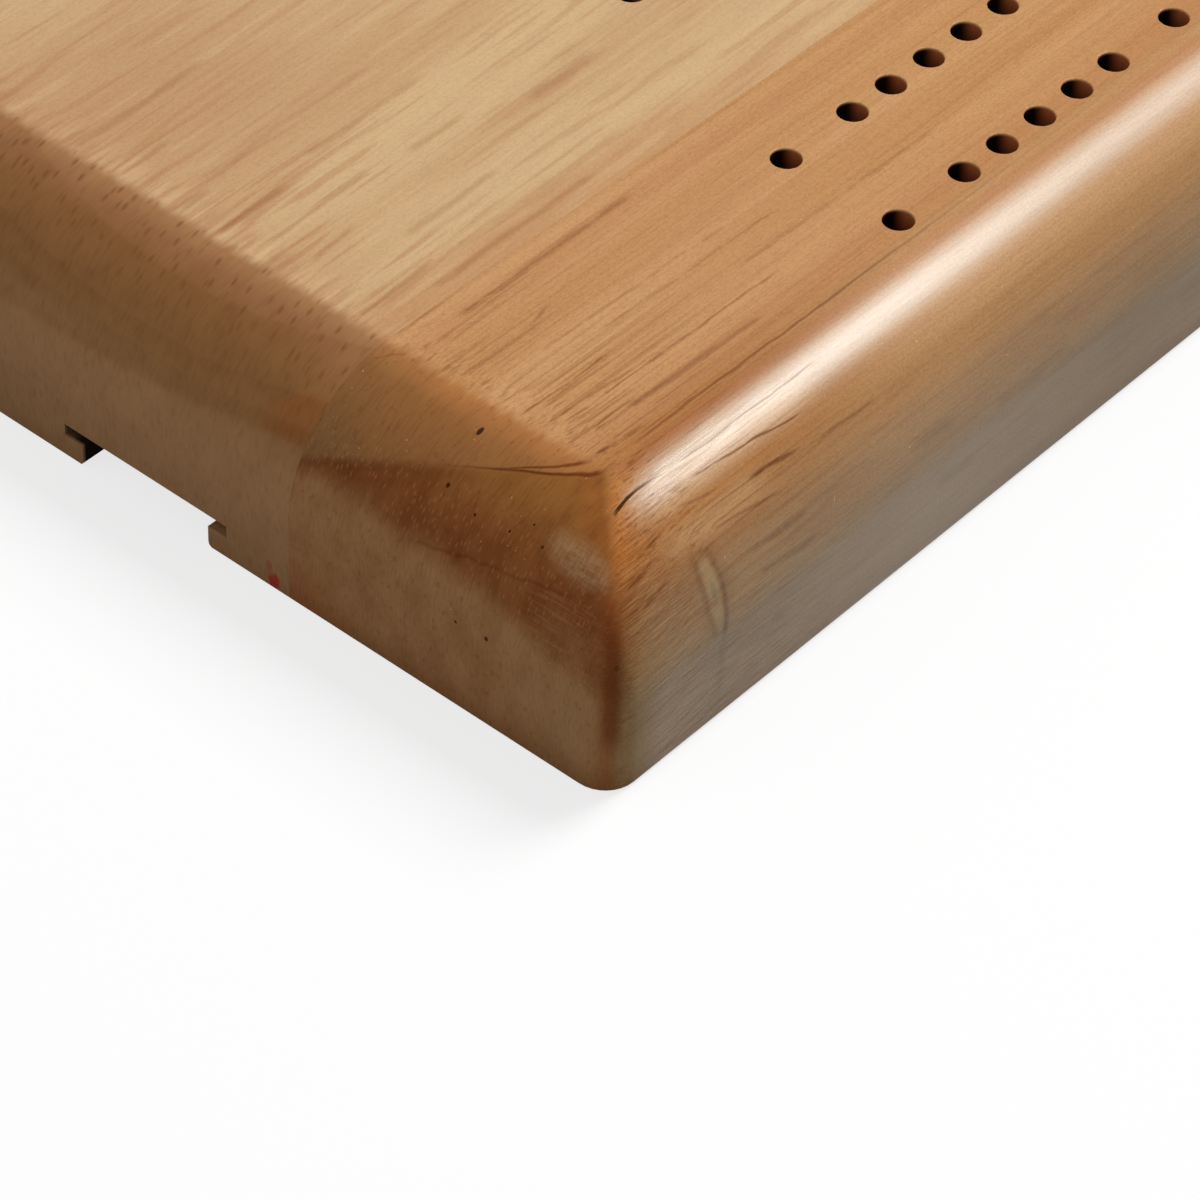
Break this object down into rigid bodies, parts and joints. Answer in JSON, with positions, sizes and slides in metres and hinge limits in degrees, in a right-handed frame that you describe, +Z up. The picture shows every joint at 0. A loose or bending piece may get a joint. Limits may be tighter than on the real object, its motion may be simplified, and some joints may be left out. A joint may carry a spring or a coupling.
{
  "type": "cribbage board",
  "caption": "Flat wooden cribbage board with drilled scoring tracks, a rounded top edge, and a peg pocket underneath behind a sliding metal lid.",
  "frame": {"origin": "middle of the underside's outline, on the surface that the board stands on", "axes": "+X along the board's long side, away from the end where the lid comes out; +Y across it; +Z up"},
  "size_m": [0.258, 0.0922, 0.0188],
  "materials": {
    "near_stave_wood": "satin varnish, orange brown",
    "far_stave_wood": "satin varnish, pale",
    "lid_steel": "rolled sheet, brushed",
    "peg_brass": "turned, bright",
    "peg_steel": "turned, bright"
  },
  "bodies": {
    "board": {"near_stave": "near_stave_wood", "far_stave": "far_stave_wood"},
    "lid": {"lid": "lid_steel"},
    "brass_peg_1": {"brass_peg_1": "peg_brass"},
    "brass_peg_2": {"brass_peg_2": "peg_brass"},
    "brass_peg_3": {"brass_peg_3": "peg_brass"},
    "steel_peg_1": {"steel_peg_1": "peg_steel"},
    "steel_peg_2": {"steel_peg_2": "peg_steel"},
    "steel_peg_3": {"steel_peg_3": "peg_steel"}
  },
  "joints": [
    {"name": "lid_slide", "type": "slide", "parent": "board", "child": "lid", "axis": [-1, 0, 0], "range_m": [0, 0.088]},
    {"name": "brass_peg_1_slide", "type": "slide", "parent": "board", "child": "brass_peg_1", "axis": [1, 0, 0], "range_m": [0, 0.0081]},
    {"name": "brass_peg_2_slide", "type": "slide", "parent": "board", "child": "brass_peg_2", "axis": [1, 0, 0], "range_m": [0, 0.0081]},
    {"name": "brass_peg_3_slide", "type": "slide", "parent": "board", "child": "brass_peg_3", "axis": [1, 0, 0], "range_m": [0, 0.0081]},
    {"name": "steel_peg_1_slide", "type": "slide", "parent": "board", "child": "steel_peg_1", "axis": [-1, 0, 0], "range_m": [0, 0.0081]},
    {"name": "steel_peg_2_slide", "type": "slide", "parent": "board", "child": "steel_peg_2", "axis": [-1, 0, 0], "range_m": [0, 0.0081]},
    {"name": "steel_peg_3_slide", "type": "slide", "parent": "board", "child": "steel_peg_3", "axis": [-1, 0, 0], "range_m": [0, 0.0081]}
  ]
}
